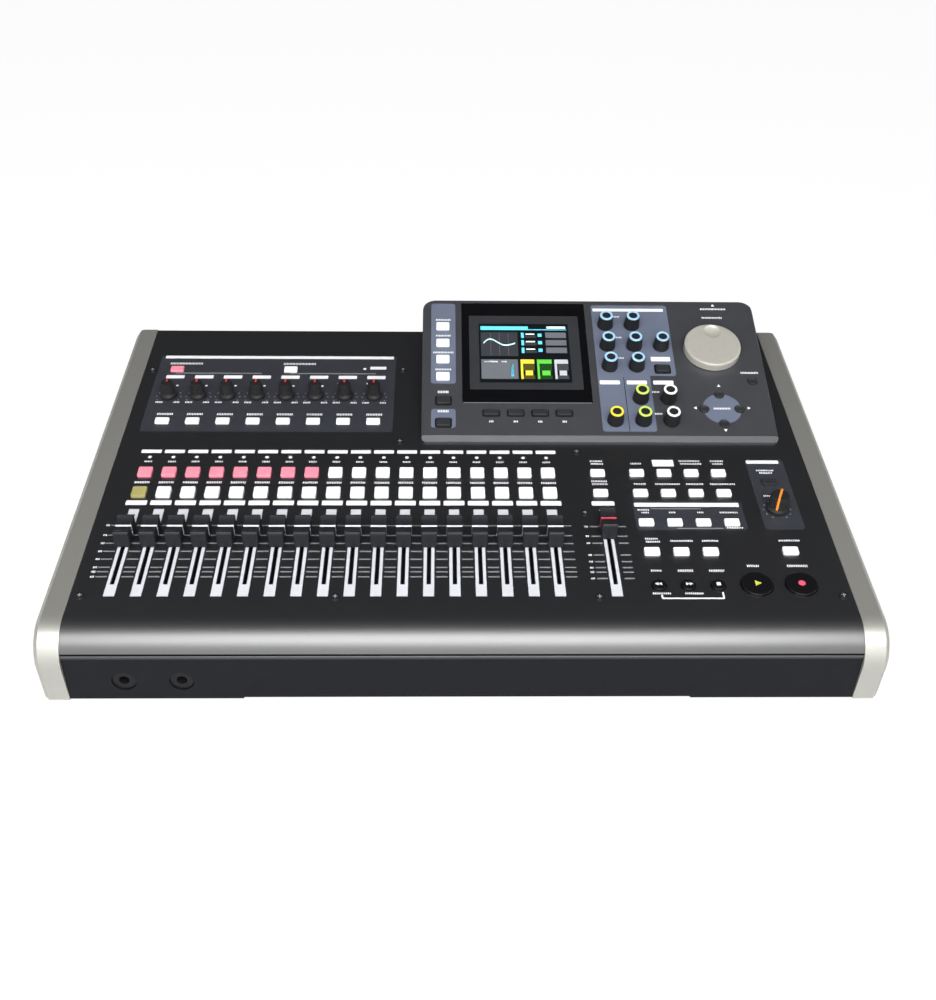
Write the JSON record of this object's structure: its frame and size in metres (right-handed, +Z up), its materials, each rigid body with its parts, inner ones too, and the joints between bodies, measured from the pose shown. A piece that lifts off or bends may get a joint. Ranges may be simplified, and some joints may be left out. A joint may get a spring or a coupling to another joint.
{
  "type": "digital multitrack recorder",
  "caption": "Desktop multitrack audio recorder: sloping panel with a fader bank, keys and trim knobs, tilted display pod with encoders and jog wheel, silver end cheeks.",
  "frame": {"origin": "bottom centre of the whole object, on the plane of the feet", "axes": "+X to the right as seen from the front, +Y to the rear, +Z up"},
  "size_m": [0.514, 0.34, 0.1137],
  "materials": {
    "panel": "satin near-black paint",
    "cheek": "silver metallic paint",
    "pod": "fine textured charcoal",
    "window": "gloss black",
    "steel": "plain sheet",
    "board": "green solder mask",
    "socket": "moulded black",
    "screw": "black oxide",
    "foot": "matt",
    "jog": "champagne anodised",
    "dark_key": "gloss",
    "key": "translucent white",
    "fader_cap": "matt dark grey",
    "knob": "soft-touch black"
  },
  "bodies": {
    "housing": {"base_tray": "steel", "rear_panel": "panel", "top_panel": "panel", "front_panel": "panel", "left_cheek": "cheek", "right_cheek": "cheek", "display_pod": "pod", "screen_window": "window", "lcd_module": "steel", "fader_tracks": "steel", "circuit_boards": "board", "jack_sockets": "socket", "panel_screws": "screw", "rubber_feet": "foot"},
    "fader_01": {"fader_01": "fader_cap"},
    "fader_02": {"fader_02": "fader_cap"},
    "fader_03": {"fader_03": "fader_cap"},
    "fader_04": {"fader_04": "fader_cap"},
    "fader_05": {"fader_05": "fader_cap"},
    "fader_06": {"fader_06": "fader_cap"},
    "fader_07": {"fader_07": "fader_cap"},
    "fader_08": {"fader_08": "fader_cap"},
    "fader_09": {"fader_09": "fader_cap"},
    "fader_10": {"fader_10": "fader_cap"},
    "fader_11": {"fader_11": "fader_cap"},
    "fader_12": {"fader_12": "fader_cap"},
    "fader_13": {"fader_13": "fader_cap"},
    "fader_14": {"fader_14": "fader_cap"},
    "fader_15": {"fader_15": "fader_cap"},
    "fader_16": {"fader_16": "fader_cap"},
    "fader_17": {"fader_17": "fader_cap"},
    "fader_18": {"fader_18": "fader_cap"},
    "master_fader": {"master_fader": "fader_cap"},
    "trim_knob_1": {"trim_knob_1": "knob"},
    "trim_knob_2": {"trim_knob_2": "knob"},
    "trim_knob_3": {"trim_knob_3": "knob"},
    "trim_knob_4": {"trim_knob_4": "knob"},
    "trim_knob_5": {"trim_knob_5": "knob"},
    "trim_knob_6": {"trim_knob_6": "knob"},
    "trim_knob_7": {"trim_knob_7": "knob"},
    "trim_knob_8": {"trim_knob_8": "knob"},
    "encoder_01": {"encoder_01": "knob"},
    "encoder_02": {"encoder_02": "knob"},
    "encoder_03": {"encoder_03": "knob"},
    "encoder_04": {"encoder_04": "knob"},
    "encoder_05": {"encoder_05": "knob"},
    "encoder_06": {"encoder_06": "knob"},
    "encoder_07": {"encoder_07": "knob"},
    "encoder_08": {"encoder_08": "knob"},
    "encoder_09": {"encoder_09": "knob"},
    "encoder_10": {"encoder_10": "knob"},
    "encoder_11": {"encoder_11": "knob"},
    "encoder_12": {"encoder_12": "knob"},
    "jog_wheel": {"jog_wheel": "jog"},
    "level_knob": {"level_knob": "knob"},
    "channel_buttons": {"channel_buttons": "key"},
    "function_buttons": {"function_buttons": "key"},
    "transport_buttons": {"transport_buttons": "dark_key"},
    "pod_buttons": {"pod_buttons": "key"},
    "power_switch": {"power_switch": "dark_key"}
  },
  "joints": [
    {"name": "fader_01_slide", "type": "slide", "parent": "housing", "child": "fader_01", "axis": [0, 0.9981, 0.061], "range_m": [-0.04028, 0.01984]},
    {"name": "fader_02_slide", "type": "slide", "parent": "housing", "child": "fader_02", "axis": [0, 0.9981, 0.061], "range_m": [-0.04028, 0.01984]},
    {"name": "fader_03_slide", "type": "slide", "parent": "housing", "child": "fader_03", "axis": [0, 0.9981, 0.061], "range_m": [-0.04028, 0.01984]},
    {"name": "fader_04_slide", "type": "slide", "parent": "housing", "child": "fader_04", "axis": [0, 0.9981, 0.061], "range_m": [-0.04028, 0.01984]},
    {"name": "fader_05_slide", "type": "slide", "parent": "housing", "child": "fader_05", "axis": [0, 0.9981, 0.061], "range_m": [-0.04028, 0.01984]},
    {"name": "fader_06_slide", "type": "slide", "parent": "housing", "child": "fader_06", "axis": [0, 0.9981, 0.061], "range_m": [-0.04028, 0.01984]},
    {"name": "fader_07_slide", "type": "slide", "parent": "housing", "child": "fader_07", "axis": [0, 0.9981, 0.061], "range_m": [-0.04028, 0.01984]},
    {"name": "fader_08_slide", "type": "slide", "parent": "housing", "child": "fader_08", "axis": [0, 0.9981, 0.061], "range_m": [-0.04028, 0.01984]},
    {"name": "fader_09_slide", "type": "slide", "parent": "housing", "child": "fader_09", "axis": [0, 0.9981, 0.061], "range_m": [-0.04028, 0.01984]},
    {"name": "fader_10_slide", "type": "slide", "parent": "housing", "child": "fader_10", "axis": [0, 0.9981, 0.061], "range_m": [-0.04028, 0.01984]},
    {"name": "fader_11_slide", "type": "slide", "parent": "housing", "child": "fader_11", "axis": [0, 0.9981, 0.061], "range_m": [-0.04028, 0.01984]},
    {"name": "fader_12_slide", "type": "slide", "parent": "housing", "child": "fader_12", "axis": [0, 0.9981, 0.061], "range_m": [-0.04028, 0.01984]},
    {"name": "fader_13_slide", "type": "slide", "parent": "housing", "child": "fader_13", "axis": [0, 0.9981, 0.061], "range_m": [-0.04028, 0.01984]},
    {"name": "fader_14_slide", "type": "slide", "parent": "housing", "child": "fader_14", "axis": [0, 0.9981, 0.061], "range_m": [-0.04028, 0.01984]},
    {"name": "fader_15_slide", "type": "slide", "parent": "housing", "child": "fader_15", "axis": [0, 0.9981, 0.061], "range_m": [-0.04028, 0.01984]},
    {"name": "fader_16_slide", "type": "slide", "parent": "housing", "child": "fader_16", "axis": [0, 0.9981, 0.061], "range_m": [-0.04028, 0.01984]},
    {"name": "fader_17_slide", "type": "slide", "parent": "housing", "child": "fader_17", "axis": [0, 0.9981, 0.061], "range_m": [-0.04028, 0.01984]},
    {"name": "fader_18_slide", "type": "slide", "parent": "housing", "child": "fader_18", "axis": [0, 0.9981, 0.061], "range_m": [-0.04028, 0.01984]},
    {"name": "master_fader_slide", "type": "slide", "parent": "housing", "child": "master_fader", "axis": [0, 0.9981, 0.061], "range_m": [-0.04839, 0.01172]},
    {"name": "trim_knob_1_turn", "type": "hinge", "parent": "housing", "child": "trim_knob_1", "pos_m": [-0.217, 0.0789, 0.06743], "axis": [0, -0.061, 0.9981], "range_deg": [-150, 150]},
    {"name": "trim_knob_2_turn", "type": "hinge", "parent": "housing", "child": "trim_knob_2", "pos_m": [-0.1952, 0.0789, 0.06743], "axis": [0, -0.061, 0.9981], "range_deg": [-150, 150]},
    {"name": "trim_knob_3_turn", "type": "hinge", "parent": "housing", "child": "trim_knob_3", "pos_m": [-0.1734, 0.0789, 0.06743], "axis": [0, -0.061, 0.9981], "range_deg": [-150, 150]},
    {"name": "trim_knob_4_turn", "type": "hinge", "parent": "housing", "child": "trim_knob_4", "pos_m": [-0.1516, 0.0789, 0.06743], "axis": [0, -0.061, 0.9981], "range_deg": [-150, 150]},
    {"name": "trim_knob_5_turn", "type": "hinge", "parent": "housing", "child": "trim_knob_5", "pos_m": [-0.1298, 0.0789, 0.06743], "axis": [0, -0.061, 0.9981], "range_deg": [-150, 150]},
    {"name": "trim_knob_6_turn", "type": "hinge", "parent": "housing", "child": "trim_knob_6", "pos_m": [-0.108, 0.0789, 0.06743], "axis": [0, -0.061, 0.9981], "range_deg": [-150, 150]},
    {"name": "trim_knob_7_turn", "type": "hinge", "parent": "housing", "child": "trim_knob_7", "pos_m": [-0.0862, 0.0789, 0.06743], "axis": [0, -0.061, 0.9981], "range_deg": [-150, 150]},
    {"name": "trim_knob_8_turn", "type": "hinge", "parent": "housing", "child": "trim_knob_8", "pos_m": [-0.0644, 0.0789, 0.06743], "axis": [0, -0.061, 0.9981], "range_deg": [-150, 150]},
    {"name": "encoder_01_turn", "type": "hinge", "parent": "housing", "child": "encoder_01", "pos_m": [0.1112, 0.12955, 0.10087], "axis": [0, -0.2924, 0.9563], "continuous": true},
    {"name": "encoder_02_turn", "type": "hinge", "parent": "housing", "child": "encoder_02", "pos_m": [0.1315, 0.12955, 0.10087], "axis": [0, -0.2924, 0.9563], "continuous": true},
    {"name": "encoder_03_turn", "type": "hinge", "parent": "housing", "child": "encoder_03", "pos_m": [0.1112, 0.1087, 0.09449], "axis": [0, -0.2924, 0.9563], "continuous": true},
    {"name": "encoder_04_turn", "type": "hinge", "parent": "housing", "child": "encoder_04", "pos_m": [0.1315, 0.1087, 0.09449], "axis": [0, -0.2924, 0.9563], "continuous": true},
    {"name": "encoder_05_turn", "type": "hinge", "parent": "housing", "child": "encoder_05", "pos_m": [0.1518, 0.1087, 0.09449], "axis": [0, -0.2924, 0.9563], "continuous": true},
    {"name": "encoder_06_turn", "type": "hinge", "parent": "housing", "child": "encoder_06", "pos_m": [0.1112, 0.08881, 0.08841], "axis": [0, -0.2924, 0.9563], "continuous": true},
    {"name": "encoder_07_turn", "type": "hinge", "parent": "housing", "child": "encoder_07", "pos_m": [0.1315, 0.08881, 0.08841], "axis": [0, -0.2924, 0.9563], "continuous": true},
    {"name": "encoder_08_turn", "type": "hinge", "parent": "housing", "child": "encoder_08", "pos_m": [0.1112, 0.03822, 0.07295], "axis": [0, -0.2924, 0.9563], "continuous": true},
    {"name": "encoder_09_turn", "type": "hinge", "parent": "housing", "child": "encoder_09", "pos_m": [0.1315, 0.0583, 0.07909], "axis": [0, -0.2924, 0.9563], "continuous": true},
    {"name": "encoder_10_turn", "type": "hinge", "parent": "housing", "child": "encoder_10", "pos_m": [0.1315, 0.03822, 0.07295], "axis": [0, -0.2924, 0.9563], "continuous": true},
    {"name": "encoder_11_turn", "type": "hinge", "parent": "housing", "child": "encoder_11", "pos_m": [0.1518, 0.0583, 0.07909], "axis": [0, -0.2924, 0.9563], "continuous": true},
    {"name": "encoder_12_turn", "type": "hinge", "parent": "housing", "child": "encoder_12", "pos_m": [0.1518, 0.03822, 0.07295], "axis": [0, -0.2924, 0.9563], "continuous": true},
    {"name": "jog_wheel_turn", "type": "hinge", "parent": "housing", "child": "jog_wheel", "pos_m": [0.1899, 0.10535, 0.09347], "axis": [0, -0.2924, 0.9563], "continuous": true},
    {"name": "level_knob_turn", "type": "hinge", "parent": "housing", "child": "level_knob", "pos_m": [0.2113, -0.049, 0.0596], "axis": [0, -0.061, 0.9981], "range_deg": [-120, 180]},
    {"name": "channel_buttons_press", "type": "slide", "parent": "housing", "child": "channel_buttons", "axis": [0, 0.061, -0.9981], "range_m": [0, 0.001], "stiffness_N_per_m": 1500, "springref_m": -0.0006},
    {"name": "function_buttons_press", "type": "slide", "parent": "housing", "child": "function_buttons", "axis": [0, 0.061, -0.9981], "range_m": [0, 0.001], "stiffness_N_per_m": 1500, "springref_m": -0.0006},
    {"name": "transport_buttons_press", "type": "slide", "parent": "housing", "child": "transport_buttons", "axis": [0, 0.061, -0.9981], "range_m": [0, 0.001], "stiffness_N_per_m": 1500, "springref_m": -0.0006},
    {"name": "pod_buttons_press", "type": "slide", "parent": "housing", "child": "pod_buttons", "axis": [0, 0.2924, -0.9563], "range_m": [0, 0.001], "stiffness_N_per_m": 1500, "springref_m": -0.0006},
    {"name": "power_switch_press", "type": "slide", "parent": "housing", "child": "power_switch", "axis": [0, -1, 0], "range_m": [0, 0.003], "stiffness_N_per_m": 400, "springref_m": -0.001}
  ]
}
